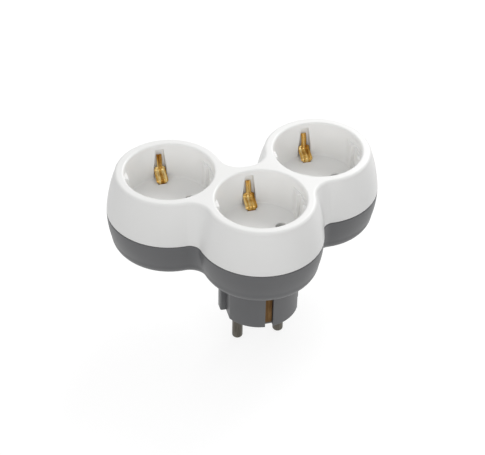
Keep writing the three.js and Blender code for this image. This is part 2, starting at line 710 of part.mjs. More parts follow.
function earthFrame() {
  const reach = CLIP_ROOT_Y + CLIP_REACH;
  const half = EARTH_BAR_WIDTH / 2;
  const bars = Object.values(SOCKETS).map((s) => block(
    s.x - half, s.x + half, s.y - reach, s.y + reach, FRAME_Z, FRAME_TOP_Z,
  ));
  const middle = REAR_Y / 2;
  const cross = block(
    LEFT.x - half, RIGHT.x + half, middle - half / 2, middle + half / 2, FRAME_Z, FRAME_TOP_Z,
  );
  return joined([...bars, cross]);
}

function contactCarrier() {
  const radius = housingRadius(CARRIER_Z) - SHELL_WALL - CLEARANCE;
  const plate = lofted([[CARRIER_Z, radius], [CARRIER_TOP_Z, radius]]);
  const bossRadius = SCREW_RADIUS + CLEARANCE + BOSS_WALL;
  return cut(plate, [
    ...PIN_PLACES.map((at) => post(PIN_HOLE_RADIUS + CLEARANCE, CARRIER_Z - 1, CARRIER_TOP_Z + 1, at, HOLE_FACETS)),
    ...SCREW_PLACES.map((at) => post(bossRadius + CLEARANCE, CARRIER_Z - 1, CARRIER_TOP_Z + 1, at, HOLE_FACETS)),
    ...[-1, 1].map((s) => earthStripHole(s, CARRIER_Z - 1, CARRIER_TOP_Z + 1)),
  ]);
}

// One bus bar: a track between pins, a pad with a hole at each pin and a tab over the strap,
// which lies towards +Y or -Y of its pin
function busBar(route, pads, strapPin, strapSide) {
  const tabEnd = new THREE.Vector2(strapPin.x, strapPin.y + strapSide * (STRAP_OFFSET + STRAP_LUG));
  const plate = joined([
    track(route, BUS_WIDTH, BUS_Z, BUS_TOP_Z),
    ...pads.map((at) => post(BUS_PAD_RADIUS, BUS_Z, BUS_TOP_Z, at)),
    bar(strapPin, tabEnd, STRAP_WIDTH, BUS_Z, BUS_TOP_Z),
  ]);
  return cut(plate, pads.map((at) => post(PIN_HOLE_RADIUS, BUS_Z - 1, BUS_TOP_Z + 1, at, HOLE_FACETS)));
}

function roundPoint(centre, distance, degrees) {
  const angle = THREE.MathUtils.degToRad(degrees);
  return new THREE.Vector2(centre.x + distance * Math.cos(angle), centre.y + distance * Math.sin(angle));
}

// Where a bar crosses a neck: towards +1, the front of the neck, or -1, its rear
function neckPoint(side, towards) {
  const point = NECK_MIDDLE.clone().addScaledVector(NECK_NORMAL, towards * BUS_NECK_SHIFT);
  return new THREE.Vector2(side * point.x, point.y);
}

// The left bar passes in front of the front socket's right pin and inside the right screw boss
function leftBus() {
  const far = pinOf(LEFT, -1);
  const from = pinOf(FRONT, -1);
  const passed = pinOf(FRONT, 1);
  const to = pinOf(RIGHT, 1);
  const boss = SCREW_PLACES[0];
  const clear = BUS_PAD_RADIUS + BUS_WIDTH / 2 + 3 * CLEARANCE;
  const between = passed.clone().lerp(boss, clear / boss.distanceTo(passed));
  const route = [
    far,
    neckPoint(-1, 1),
    from,
    roundPoint(from, BUS_BYPASS, -60),
    roundPoint(passed, BUS_BYPASS, -90),
    roundPoint(passed, BUS_BYPASS, -40),
    between,
    neckPoint(1, 1),
    to,
  ];
  return busBar(route, [far, from, to], from, -1);
}

function rightBus() {
  const middle = pinOf(FRONT, 1);
  const ends = [pinOf(LEFT, 1), pinOf(RIGHT, -1)];
  const route = [ends[0], neckPoint(-1, -1), middle, neckPoint(1, -1), ends[1]];
  return busBar(route, [...ends, middle], middle, 1);
}

// A pin contact: a pierced base under the bus bar and two sprung leaves hanging from it
function pinContact(at) {
  const t = CONTACT_THICKNESS;
  const top = CONTACT_TOP_Z;
  const half = CONTACT_BASE / 2;
  const bottom = top - CONTACT_LENGTH;
  const pinch = bottom + CONTACT_LENGTH / 4;
  const open = PIN_HOLE_RADIUS + CONTACT_PINCH;
  const tight = PIN_RADIUS - CONTACT_PINCH;
  const base = block(-half, half, -half, half, top - t, top)
    .subtract(post(PIN_HOLE_RADIUS, top - t - 1, top + 1, FRONT, HOLE_FACETS));
  const leaf = [
    [open, top - t / 2], [open, top - 2 * t], [tight, pinch], [open, bottom],
    [open + t, bottom], [tight + t, pinch], [open + t, top - 2 * t], [open + t, top - t / 2],
  ];
  const leaves = [leaf, leaf.map(([y, z]) => [-y, z])].map((points) => folded(points, CONTACT_WIDTH));
  return joined([base, ...leaves]).translate([at.x, at.y, 0]);
}

// A strap from a plug pin's tail up to its bus bar, on the pin's +Y or -Y side
function pinStrap(at, side) {
  const lugZ = PIN_TAIL_Z + CLEARANCE;
  const legY = STRAP_OFFSET + STRAP_THICKNESS / 2;
  const topZ = BUS_Z - CLEARANCE;
  const path = [
    [-STRAP_LUG, lugZ + STRAP_THICKNESS / 2],
    [legY, lugZ + STRAP_THICKNESS / 2],
    [legY, topZ - STRAP_THICKNESS / 2],
    [legY + STRAP_LUG - STRAP_THICKNESS, topZ - STRAP_THICKNESS / 2],
  ];
  const strap = folded(stripOutline(path, STRAP_THICKNESS), STRAP_WIDTH);
  const hole = post(PIN_TAIL_RADIUS + CLEARANCE, lugZ - 1, lugZ + STRAP_THICKNESS + 1, FRONT, HOLE_FACETS);
  const pierced = strap.subtract(hole);
  return (side > 0 ? pierced : pierced.rotate([0, 0, 180])).translate([at.x, at.y, 0]);
}

// Screws, heads down in the housing's counterbores

function screw(at) {
  const headZ = SCREW_SEAT_Z - CLEARANCE - SCREW_HEAD_HEIGHT;
  const seat = SCREW_SEAT_Z - CLEARANCE;
  const tip = SCREW_SEAT_Z + SCREW_LENGTH;
  const body = turned([
    [0, headZ],
    [SCREW_HEAD_FACE_RADIUS, headZ],
    [SCREW_HEAD_RADIUS, headZ + SCREW_HEAD_HEIGHT / 3],
    [SCREW_HEAD_RADIUS, seat],
    [SCREW_RADIUS, seat],
    [SCREW_RADIUS, tip - SCREW_RADIUS],
    [0, tip],
  ], HOLE_FACETS);
  const reach = SCREW_SLOT_REACH;
  const half = SCREW_SLOT_WIDTH / 2;
  const depth = headZ + SCREW_SLOT_DEPTH;
  return cut(body, [
    block(-reach, reach, -half, half, headZ - 1, depth),
    block(-half, half, -reach, reach, headZ - 1, depth),
  ]).translate([at.x, at.y, 0]);
}

// Assembly

const adapter = new THREE.Group();
adapter.name = 'triple_socket_adapter';

function addPiece(name, manifold, material) {
  const mesh = new THREE.Mesh(geometryOf(manifold), material);
  mesh.name = name;
  adapter.add(mesh);
}

addPiece('top_cover', topCover(), whitePlastic());
addPiece('bottom_housing', bottomHousing(), greyPlastic());
addPiece('contact_carrier', contactCarrier(), carrierPlastic());
addPiece('earth_frame', earthFrame(), brass());
addPiece('bus_bar_left', leftBus(), brass());
addPiece('bus_bar_right', rightBus(), brass());

[['left', -1], ['right', 1]].forEach(([name, side]) => {
  addPiece(`plug_pin_${name}`, plugPin(pinOf(FRONT, side)), nickel());
  addPiece(`pin_strap_${name}`, pinStrap(pinOf(FRONT, side), side), brass());
});

[['front', -1], ['rear', 1]].forEach(([name, side]) => {
  addPiece(`plug_earth_contact_${name}`, plugEarthContact(side), brass());
});

Object.entries(SOCKETS).forEach(([name, socket]) => {
  addPiece(`pin_contact_${name}_left`, pinContact(pinOf(socket, -1)), brass());
  addPiece(`pin_contact_${name}_right`, pinContact(pinOf(socket, 1)), brass());
  addPiece(`earth_clip_${name}_rear`, earthClip(socket, 1), brass());
  addPiece(`earth_clip_${name}_front`, earthClip(socket, -1), brass());
});

SCREW_PLACES.forEach((at, i) => addPiece(`screw_${i + 1}`, screw(at), steel()));

export default adapter;
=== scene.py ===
import math

import bpy
from mathutils import Matrix, Vector


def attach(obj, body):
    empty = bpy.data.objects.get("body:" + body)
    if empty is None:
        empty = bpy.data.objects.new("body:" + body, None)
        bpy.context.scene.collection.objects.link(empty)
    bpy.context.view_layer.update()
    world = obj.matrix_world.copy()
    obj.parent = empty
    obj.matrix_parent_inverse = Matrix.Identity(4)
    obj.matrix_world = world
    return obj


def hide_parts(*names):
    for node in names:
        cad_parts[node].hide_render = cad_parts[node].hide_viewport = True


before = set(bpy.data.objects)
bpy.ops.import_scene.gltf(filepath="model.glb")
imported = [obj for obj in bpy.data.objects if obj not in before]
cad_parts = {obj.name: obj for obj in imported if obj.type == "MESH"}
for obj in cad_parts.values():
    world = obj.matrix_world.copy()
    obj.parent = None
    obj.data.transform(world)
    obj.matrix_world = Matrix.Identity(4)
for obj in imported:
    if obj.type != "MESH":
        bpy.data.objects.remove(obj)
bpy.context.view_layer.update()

MM = 0.001

# Layout and heights, in millimetres, as in the part's source
SOCKET_PITCH = 43.7
FORK = math.radians(50.45)
BOTTOM_Z = 20.4
PARTING_Z = 38.4
TOP_Z = 58.7
BELLY_RADIUS = 27.86
NECK_RADIUS = 5.2
COVER_DRAFT = math.radians(3.75)
COVER_SIDE_CURVE = 67.0
HOUSING_SIDE_CURVE = 46.0
TOP_EDGE_FILLET = 1.6
BOTTOM_EDGE_FILLET = 6.0
SEAM_GAP = 0.3
SEAM_EDGE = 0.25
HOUSING_EDGE = 0.5

# Walls
SHELL_WALL = 2.4
TOP_WALL = 2.2
BOTTOM_WALL = 1.5
TONGUE_WALL = 1.0
TONGUE_HEIGHT = 1.9
CLEARANCE = 0.3

# Wells, guide lands and clip recesses
WELL_FLOOR_Z = 41.2
WELL_UNDERSIDE_Z = 39.4
WELL_MOUTH_RADIUS = 19.6
WELL_FLOOR_RADIUS = 18.9
WELL_SIDE_WALL = 1.6
WELL_FLOOR_FILLET = 0.8
RIM_FILLET = 1.0
LAND_INNER_X = 17.1
LAND_START_Y = 3.8
LAND_END_Y = 9.3
LAND_TOP_Z = 54.5
LAND_EDGE = 0.3
GROOVE_X = 18.7
RECESS_TOP_Z = 56.2
RECESS_SHOULDER_Z = 45.9
RECESS_TOP_WIDTH = 3.7
RECESS_LOW_WIDTH = 6.0
RECESS_START_Y = 17.3
RECESS_FLOOR_Y = 21.7
RECESS_WALL = 1.2
RECESS_EDGE = 0.35
CLIP_LEG_WIDTH = 3.6
CLIP_THICKNESS = 0.6
CLIP_ROOT_Y = 14.2

# Pins, plug and screws
PIN_X = 9.5
PIN_RADIUS = 2.4
PIN_LENGTH = 19.0
PIN_TIP_ROUND = 1.1
PIN_HOLE_RADIUS = 2.6
PIN_HOLE_CHAMFER = 0.3
PIN_BOSS_HEIGHT = 8.7
PIN_BOSS_WALL = 2.0
PLUG_RADIUS = 17.75
PLUG_FLAT_X = 15.6
PLUG_RIB_X = 18.1
PLUG_RIB_HALF_WIDTH = 2.3
PLUG_RIB_ROUND = 0.8
PLUG_WALL = 2.0
PLUG_FACE_WALL = 2.5
PLUG_FACE_EDGE = 0.4
EARTH_SLOT_WIDTH = 3.6
EARTH_SLOT_DEPTH = 2.3
EARTH_STRIP_WIDTH = 3.0
EARTH_STRIP_THICKNESS = 0.8
EARTH_STRIP_RECESS = 1.2
SCREW_OFFSET = 9.0
SCREW_RADIUS = 1.3
SCREW_HEAD_RADIUS = 2.5
SCREW_SEAT_Z = 26.4
SCREW_TIP_Z = 46.4
BOSS_WALL = 1.2
BOSS_STEP = 0.8
CARRIER_Z = 35.6

# Facets
ARC_FRONT = 26
ARC_NECK = 18
ARC_LOBE = 92
ROUND = 160
POST = 48
FILLET_STEPS = 4
COVER_LEVELS = 16
HOUSING_LEVELS = 12
INNER_LEVELS = 3

# How far a cutter reaches past the face that it cuts, and the least step between two levels
PAST = 1
LEAST_STEP = 0.01

# Flat outlines and rings

REACH = BELLY_RADIUS + NECK_RADIUS
RIGHT = Vector((SOCKET_PITCH * math.sin(FORK), SOCKET_PITCH * math.cos(FORK)))
LEFT = Vector((-RIGHT.x, RIGHT.y))
FRONT = Vector((0.0, 0.0))
SOCKETS = {"front": FRONT, "left": LEFT, "right": RIGHT}
NECK_MIDDLE = RIGHT * 0.5
NECK_NORMAL = Vector((math.cos(FORK), -math.sin(FORK)))
NECK_SHIFT = math.sqrt(REACH ** 2 - (SOCKET_PITCH / 2) ** 2)
FRONT_NECK = NECK_MIDDLE + NECK_NORMAL * NECK_SHIFT
REAR_NECK = NECK_MIDDLE - NECK_NORMAL * NECK_SHIFT


def heading(start, end):
    return math.atan2(end.y - start.y, end.x - start.x)


def arc(centre, radius, start, end, segments):
    turn = (end - start) / segments
    return [
        (centre.x + radius * math.cos(start + turn * i), centre.y + radius * math.sin(start + turn * i))
        for i in range(segments + 1)
    ]


def outline(lobe_radius):
    """The adapter's outline at one level: arcs round the sockets joined by concave arcs."""
    neck = REACH - lobe_radius
    front_turn = heading(RIGHT, FRONT_NECK)
    rear_turn = heading(RIGHT, REAR_NECK)
    while rear_turn < front_turn:
        rear_turn += 2 * math.pi
    rear_end = heading(REAR_NECK, FRONT)
    rear_start = heading(REAR_NECK, RIGHT)
    while rear_start < rear_end:
        rear_start += 2 * math.pi
    front_start = heading(FRONT_NECK, FRONT)
    front_end = heading(FRONT_NECK, RIGHT)
    while front_end > front_start:
        front_end -= 2 * math.pi
    half = arc(FRONT, lobe_radius, -math.pi / 2, heading(FRONT, FRONT_NECK), ARC_FRONT)
    half += arc(FRONT_NECK, neck, front_start, front_end, ARC_NECK)[1:]
    half += arc(RIGHT, lobe_radius, front_turn, rear_turn, ARC_LOBE)[1:]
    half += arc(REAR_NECK, neck, rear_start, rear_end, ARC_NECK)[1:]
    return half + [(-x, y) for x, y in reversed(half[1:])]


def cover_radius(z):
    h = z - PARTING_Z
    bow = COVER_SIDE_CURVE - math.sqrt(COVER_SIDE_CURVE ** 2 - h ** 2)
    return BELLY_RADIUS - h * math.tan(COVER_DRAFT) - bow


def housing_radius(z):
    h = PARTING_Z - z
    return BELLY_RADIUS - (HOUSING_SIDE_CURVE - math.sqrt(HOUSING_SIDE_CURVE ** 2 - h ** 2))


def levels(z0, z1, count, radius_at):
    return [(z0 + (z1 - z0) * i / count, radius_at(z0 + (z1 - z0) * i / count)) for i in range(count + 1)]


# Meshes in millimetres, used as tools until a piece is done

def raw(name, points, faces):
    mesh = bpy.data.meshes.new(name)
    mesh.from_pydata([tuple(p) for p in points], [], faces)
    mesh.validate()
    obj = bpy.data.objects.new(name, mesh)
    bpy.context.scene.collection.objects.link(obj)
    return obj


def stacked(rings, name="tool"):
    """A closed solid through rings of points with the same count, lowest first."""
    count = len(rings[0])
    points = [p for ring in rings for p in ring]
    faces = []
    for level in range(len(rings) - 1):
        low = level * count
        for i in range(count):
            j = (i + 1) % count
            faces.append((low + i, low + j, low + count + j, low + count + i))
    faces.append(tuple(reversed(range(count))))
    top = (len(rings) - 1) * count
    faces.append(tuple(range(top, top + count)))
    return raw(name, points, faces)


def lofted(steps, name="tool"):
    return stacked([[(x, y, z) for x, y in outline(r)] for z, r in steps], name)


def turned(profile, sides, at=FRONT, name="tool"):
    """A turned solid from a profile of (radius, z), lowest first, without its axis points."""
    rings = []
    for radius, z in profile:
        ring = []
        for i in range(sides):
            a = 2 * math.pi * i / sides
            ring.append((at.x + radius * math.cos(a), at.y + radius * math.sin(a), z))
        rings.append(ring)
    return stacked(rings, name)


def post(radius, z0, z1, at=FRONT, sides=POST):
    return turned([(radius, z0), (radius, z1)], sides, at)


def raised(points, z0, z1, name="tool"):
    return stacked([[(x, y, z0) for x, y in points], [(x, y, z1) for x, y in points]], name)


def block(x0, x1, y0, y1, z0, z1):
    xs, ys = sorted((x0, x1)), sorted((y0, y1))
    corners = [(xs[0], ys[0]), (xs[1], ys[0]), (xs[1], ys[1]), (xs[0], ys[1])]
    return raised(corners, z0, z1)


def modified(obj):
    graph = bpy.context.evaluated_depsgraph_get()
    mesh = bpy.data.meshes.new_from_object(obj.evaluated_get(graph))
    obj.modifiers.clear()
    old = obj.data
    obj.data = mesh
    bpy.data.meshes.remove(old)
    return obj


def combined(obj, tools, operation):
    for tool in tools:
        step = obj.modifiers.new("step", "BOOLEAN")
        step.operation = operation
        step.solver = "MANIFOLD"
        step.object = tool
    modified(obj)
    for tool in tools:
        mesh = tool.data
        bpy.data.objects.remove(tool)
        bpy.data.meshes.remove(mesh)
    return obj


def joined(obj, *tools):
    return combined(obj, tools, "UNION")


def cut(obj, *tools):
    return combined(obj, tools, "DIFFERENCE")


def kept(obj, *tools):
    return combined(obj, tools, "INTERSECT")


def softened(obj, width, segments=3, angle=30):
    step = obj.modifiers.new("edge", "BEVEL")
    step.width = width
    step.segments = segments
    step.limit_method = "ANGLE"
    step.angle_limit = math.radians(angle)
    return modified(obj)


def at_sockets(make):
    tools = []
    for socket in SOCKETS.values():
        for tool in make():
            tool.data.transform(Matrix.Translation((socket.x, socket.y, 0)))
            tools.append(tool)
    return tools


# Angles in degrees from which an edge is drawn sharp
SHELL_SHARP = 32
CLIP_SHARP = 50
PIN_SHARP = 40
SCREW_SHARP = 35


def finished(obj, name, material, slot, sharp, *nodes):
    """Turns a tool in millimetres into a piece of the object in metres."""
    obj.data.transform(Matrix.Scale(MM, 4))
    obj.name = name
    obj.data.name = name
    obj.data.polygons.foreach_set("use_smooth", [True] * len(obj.data.polygons))
    obj.data.set_sharp_from_angle(angle=math.radians(sharp))
    weigh = obj.modifiers.new("even_normals", "WEIGHTED_NORMAL")
    weigh.keep_sharp = True
    obj.data.materials.clear()
    obj.data.materials.append(material)
    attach(obj, "root")
    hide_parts(*nodes)
    return obj


SCREW_PLACES = []
for towards in (1, -1):
    place = NECK_MIDDLE + NECK_NORMAL * (towards * SCREW_OFFSET)
    SCREW_PLACES += [place, Vector((-place.x, place.y))]

PIN_PLACES = [Vector((s.x + side * PIN_X, s.y)) for s in SOCKETS.values() for side in (-1, 1)]


# Materials

def nodes_of(name):
    material = bpy.data.materials.new(name)
    material.use_nodes = True
    tree = material.node_tree
    shader = tree.nodes["Principled BSDF"]
    place = tree.nodes.new("ShaderNodeTexCoord")
    return material, tree, shader, place.outputs["Object"]


def noise(tree, place, scale, detail=3.0, stretch=(1, 1, 1)):
    mapping = tree.nodes.new("ShaderNodeMapping")
    mapping.inputs["Scale"].default_value = stretch
    tree.links.new(place, mapping.inputs["Vector"])
    texture = tree.nodes.new("ShaderNodeTexNoise")
    texture.inputs["Scale"].default_value = scale
    texture.inputs["Detail"].default_value = detail
    tree.links.new(mapping.outputs["Vector"], texture.inputs["Vector"])
    return texture.outputs["Fac"]


def ramp(tree, value, stops):
    node = tree.nodes.new("ShaderNodeValToRGB")
    elements = node.color_ramp.elements
    while len(elements) < len(stops):
        elements.new(0.5)
    for element, (position, color) in zip(elements, stops):
        element.position = position
        element.color = (*color, 1.0)
    tree.links.new(value, node.inputs["Fac"])
    return node.outputs["Color"]


def spread(tree, value, low, high):
    node = tree.nodes.new("ShaderNodeMapRange")
    node.inputs["To Min"].default_value = low
    node.inputs["To Max"].default_value = high
    tree.links.new(value, node.inputs["Value"])
    return node.outputs["Result"]


def bump(tree, shader, value, strength, distance):
    node = tree.nodes.new("ShaderNodeBump")
    node.inputs["Strength"].default_value = strength
    node.inputs["Distance"].default_value = distance
    tree.links.new(value, node.inputs["Height"])
    tree.links.new(node.outputs["Normal"], shader.inputs["Normal"])


FLOW_SCALE = 38.0
FLOW_STRETCH = (1.0, 1.0, 0.5)
PATCH_SCALE = 90.0
PATCH_SPREAD = 0.05
GRAIN_SCALE = 2600.0
GRAIN_DEPTH = 0.00003
PLASTIC_SHEEN = 0.5


def plastic(name, low, high, rough, grain):
    """Moulded plastic: faint flow marks in the colour, uneven gloss and a fine grain."""
    material, tree, shader, place = nodes_of(name)
    flow = noise(tree, place, FLOW_SCALE, 4.0, FLOW_STRETCH)
    tree.links.new(ramp(tree, flow, [(0.3, low), (0.7, high)]), shader.inputs["Base Color"])
    patches = noise(tree, place, PATCH_SCALE, 2.0)
    gloss = spread(tree, patches, rough - PATCH_SPREAD, rough + PATCH_SPREAD)
    tree.links.new(gloss, shader.inputs["Roughness"])
    shader.inputs["Specular IOR Level"].default_value = PLASTIC_SHEEN
    bump(tree, shader, noise(tree, place, GRAIN_SCALE, 2.0), grain, GRAIN_DEPTH)
    return material


# Stretch of the metal's streaks: down an upright piece, down a folded strip, or none
DOWN_PIECE = (1.0, 1.0, 0.12)
DOWN_STRIP = (1.0, 0.1, 0.1)
NO_STREAK = (1.0, 1.0, 1.0)
METAL_PATCH_SCALE = 500.0
METAL_BRIGHTEST = 0.08
METAL_DULLEST = 0.1
STREAK_DEPTH = 0.00006


def stamped(name, stops, rough, streak=DOWN_PIECE, scale=900.0, grain=0.25):
    """Formed sheet metal: drawn streaks down its length, darker in patches."""
    material, tree, shader, place = nodes_of(name)
    shader.inputs["Metallic"].default_value = 1.0
    streaks = noise(tree, place, scale, 3.0, streak)
    tree.links.new(ramp(tree, streaks, stops), shader.inputs["Base Color"])
    patches = noise(tree, place, METAL_PATCH_SCALE, 2.0, streak)
    gloss = spread(tree, patches, rough - METAL_BRIGHTEST, rough + METAL_DULLEST)
    tree.links.new(gloss, shader.inputs["Roughness"])
    bump(tree, shader, streaks, grain, STREAK_DEPTH)
    return material


WHITE = plastic("white_plastic", (0.91, 0.91, 0.898), (0.93, 0.93, 0.922), 0.38, 0.12)
GREY = plastic("grey_plastic", (0.124, 0.126, 0.130), (0.144, 0.145, 0.149), 0.42, 0.3)
DARK = plastic("dark_plastic", (0.02, 0.02, 0.021), (0.03, 0.03, 0.032), 0.6, 0.4)

# Tones of each metal, from the dark streaks to the bright ones
BRASS_TONES = [(0.34, (0.36, 0.15, 0.018)), (0.5, (0.72, 0.42, 0.10)), (0.64, (0.98, 0.77, 0.36))]
STRIP_TONES = [(0.3, (0.08, 0.040, 0.014)), (0.55, (0.13, 0.073, 0.030)), (0.75, (0.2, 0.12, 0.05))]
NICKEL_TONES = [(0.3, (0.085, 0.078, 0.066)), (0.7, (0.15, 0.138, 0.118))]
STEEL_TONES = [(0.3, (0.42, 0.42, 0.43)), (0.7, (0.58, 0.58, 0.60))]

BRASS = stamped("brass", BRASS_TONES, 0.24, DOWN_STRIP, 700.0, 0.08)
STRIP = stamped("strip_brass", STRIP_TONES, 0.42)
NICKEL = stamped("nickel", NICKEL_TONES, 0.36)
STEEL = stamped("steel", STEEL_TONES, 0.34, NO_STREAK, 700.0)


# Top cover

def well_profile():
    f = WELL_FLOOR_FILLET
    points = [(WELL_FLOOR_RADIUS - f, WELL_FLOOR_Z)]
    for i in range(1, 7):
        a = math.pi / 2 * i / 6
        points.append((WELL_FLOOR_RADIUS - f + f * math.sin(a), WELL_FLOOR_Z + f * (1 - math.cos(a))))
    r = RIM_FILLET
    for i in range(0, 9):
        a = math.pi / 2 * i / 8
        points.append((WELL_MOUTH_RADIUS + r * (1 - math.cos(a)), TOP_Z - r * (1 - math.sin(a))))
    points.append((WELL_MOUTH_RADIUS + r, TOP_Z + PAST))
    return points


def recess_cutter(side):
    wide, narrow = RECESS_LOW_WIDTH / 2, RECESS_TOP_WIDTH / 2
    shape = [(-wide, WELL_FLOOR_Z), (wide, WELL_FLOOR_Z), (wide, RECESS_SHOULDER_Z), (narrow, RECESS_TOP_Z),
             (-narrow, RECESS_TOP_Z), (-wide, RECESS_SHOULDER_Z)]
    ys = sorted((side * RECESS_START_Y, side * RECESS_FLOOR_Y))
    rings = [[(x, ys[1], z) for x, z in shape], [(x, ys[0], z) for x, z in shape]]
    return softened(stacked(rings), RECESS_EDGE)


def recess_backing(side):
    half = RECESS_LOW_WIDTH / 2 + RECESS_WALL
    return block(-half, half, side * RECESS_START_Y, side * (RECESS_FLOOR_Y + RECESS_WALL),
                 WELL_UNDERSIDE_Z, TOP_Z - TOP_WALL / 2)


def clip_slot(side):
    half = CLIP_LEG_WIDTH / 2 + CLEARANCE
    reach = CLIP_THICKNESS / 2 + CLEARANCE
    return block(-half, half, side * (CLIP_ROOT_Y - reach), side * (CLIP_ROOT_Y + reach),
                 WELL_UNDERSIDE_Z - PAST, WELL_FLOOR_Z + PAST)


def guide_lands():
    z0 = WELL_FLOOR_Z - (WELL_FLOOR_Z - WELL_UNDERSIDE_Z) / 2
    outer = WELL_MOUTH_RADIUS + WELL_SIDE_WALL / 2
    lands = []
    for side in (-1, 1):
        reach = LAND_START_Y + PAST
        groove = block(side * GROOVE_X, side * outer, -reach, reach, z0, LAND_TOP_Z)
        lands.append(kept(groove, post(outer, z0, LAND_TOP_Z, FRONT, ROUND)))
        for half in (-1, 1):
            land = block(side * LAND_INNER_X, side * (outer + 2 * PAST), half * LAND_START_Y,
                         half * LAND_END_Y, z0 - PAST, LAND_TOP_Z)
            softened(land, LAND_EDGE, 4)
            lands.append(kept(land, post(outer, z0, LAND_TOP_Z + PAST, FRONT, ROUND)))
    return lands


def pin_hole():
    c = PIN_HOLE_CHAMFER
    r = PIN_HOLE_RADIUS
    profile = [(r, WELL_UNDERSIDE_Z - PAST), (r, WELL_FLOOR_Z - c)]
    for i in range(1, FILLET_STEPS + 1):
        a = math.pi / 2 * i / FILLET_STEPS
        profile.append((r + c * (1 - math.cos(a)), WELL_FLOOR_Z - c * (1 - math.sin(a))))
    return profile + [(r + c, WELL_FLOOR_Z + PAST)]


def top_cover():
    bottom = PARTING_Z + SEAM_GAP / 2
    start = TOP_Z - TOP_EDGE_FILLET
    shoulder = cover_radius(start)
    steps = []
    for i in range(FILLET_STEPS):
        a = math.pi / 2 * i / FILLET_STEPS
        z = bottom + SEAM_EDGE * (1 - math.cos(a))
        steps.append((z, cover_radius(z) - SEAM_EDGE * (1 - math.sin(a))))
    steps += levels(bottom + SEAM_EDGE, start, COVER_LEVELS, cover_radius)
    for i in range(1, 11):
        a = math.pi / 2 * i / 10
        z = start + TOP_EDGE_FILLET * math.sin(a)
        steps.append((z, shoulder - TOP_EDGE_FILLET * (1 - math.cos(a))))
    cover = lofted(steps)
    rebate = BELLY_RADIUS - (SHELL_WALL - TONGUE_WALL - CLEARANCE)
    rebate_top = bottom + TONGUE_HEIGHT + CLEARANCE
    ceiling = TOP_Z - TOP_WALL
    hollow = [(bottom - PAST, rebate), (rebate_top, rebate)]
    hollow += levels(rebate_top + LEAST_STEP, ceiling, INNER_LEVELS, lambda z: cover_radius(z) - SHELL_WALL)
    cut(cover, lofted(hollow))
    wall = WELL_MOUTH_RADIUS + WELL_SIDE_WALL
    boss = SCREW_RADIUS + CLEARANCE + BOSS_WALL
    joined(cover,
           *at_sockets(lambda: [post(wall, WELL_UNDERSIDE_Z, TOP_Z - TOP_WALL / 2, FRONT, ROUND),
                                recess_backing(1), recess_backing(-1)]),
           *[post(boss, bottom, TOP_Z - TOP_WALL / 2, at) for at in SCREW_PLACES])
    cut(cover,
        *at_sockets(lambda: [turned(well_profile(), ROUND), recess_cutter(1), recess_cutter(-1),
                             clip_slot(1), clip_slot(-1)]),
        *[turned(pin_hole(), POST, at) for at in PIN_PLACES],
        *[post(SCREW_RADIUS + CLEARANCE, bottom - PAST, SCREW_TIP_Z + CLEARANCE, at) for at in SCREW_PLACES])
    joined(cover, *at_sockets(guide_lands))
    return finished(cover, "cover_shell", WHITE, "white_plastic", SHELL_SHARP, "top_cover")


# Bottom housing with the plug body

def plug_outline(shrink=0.0):
    radius, flat = PLUG_RADIUS - shrink, PLUG_FLAT_X - shrink
    rib, reach = PLUG_RIB_HALF_WIDTH - shrink, PLUG_RIB_X - shrink
    corner = Vector((reach - PLUG_RIB_ROUND, rib - PLUG_RIB_ROUND))
    quarter = arc(corner, PLUG_RIB_ROUND, 0, math.pi / 2, 6)
    quarter.append((flat, rib))
    quarter += arc(FRONT, radius, math.acos(flat / radius), math.pi / 2, 30)
    upper = quarter + [(-x, y) for x, y in reversed(quarter[:-1])]
    return upper + [(-x, -y) for x, y in upper]


def plug_body():
    rings = []
    for i in range(FILLET_STEPS + 1):
        a = math.pi / 2 * i / FILLET_STEPS
        shrink = PLUG_FACE_EDGE * (1 - math.sin(a))
        rings.append([(x, y, PLUG_FACE_EDGE * (1 - math.cos(a))) for x, y in plug_outline(shrink)])
    rings.append([(x, y, BOTTOM_Z + BOTTOM_WALL / 2) for x, y in plug_outline()])
    return stacked(rings)


def plug_room():
    z0, z1 = PLUG_FACE_WALL, BOTTOM_Z + BOTTOM_WALL + PAST
    wide = PLUG_FLAT_X - PLUG_WALL
    deep = PLUG_RADIUS - EARTH_SLOT_DEPTH - PLUG_WALL
    half = EARTH_SLOT_WIDTH / 2 + PLUG_WALL
    room = kept(post(PLUG_RADIUS - PLUG_WALL, z0, z1, FRONT, ROUND),
                block(-wide, wide, -PLUG_RADIUS, PLUG_RADIUS, z0 - PAST, z1 + PAST))
    boss = PIN_RADIUS + CLEARANCE + PIN_BOSS_WALL
    return cut(room, block(-half, half, deep, PLUG_RADIUS, z0 - PAST, z1 + PAST),
               block(-half, half, -PLUG_RADIUS, -deep, z0 - PAST, z1 + PAST),
               *[post(boss, z0 - PAST, PIN_BOSS_HEIGHT, Vector((side * PIN_X, 0))) for side in (-1, 1)])


def earth_slot(side):
    half = EARTH_SLOT_WIDTH / 2
    return block(-half, half, side * (PLUG_RADIUS - EARTH_SLOT_DEPTH), side * (PLUG_RADIUS + PAST),
                 -PAST, BOTTOM_Z)


def strip_hole(side):
    half = EARTH_STRIP_WIDTH / 2 + CLEARANCE
    outer = PLUG_RADIUS - EARTH_STRIP_RECESS
    return block(-half, half, side * (outer - EARTH_STRIP_THICKNESS - CLEARANCE), side * (outer + CLEARANCE),
                 BOTTOM_Z - PAST, BOTTOM_Z + BOTTOM_WALL + PAST)


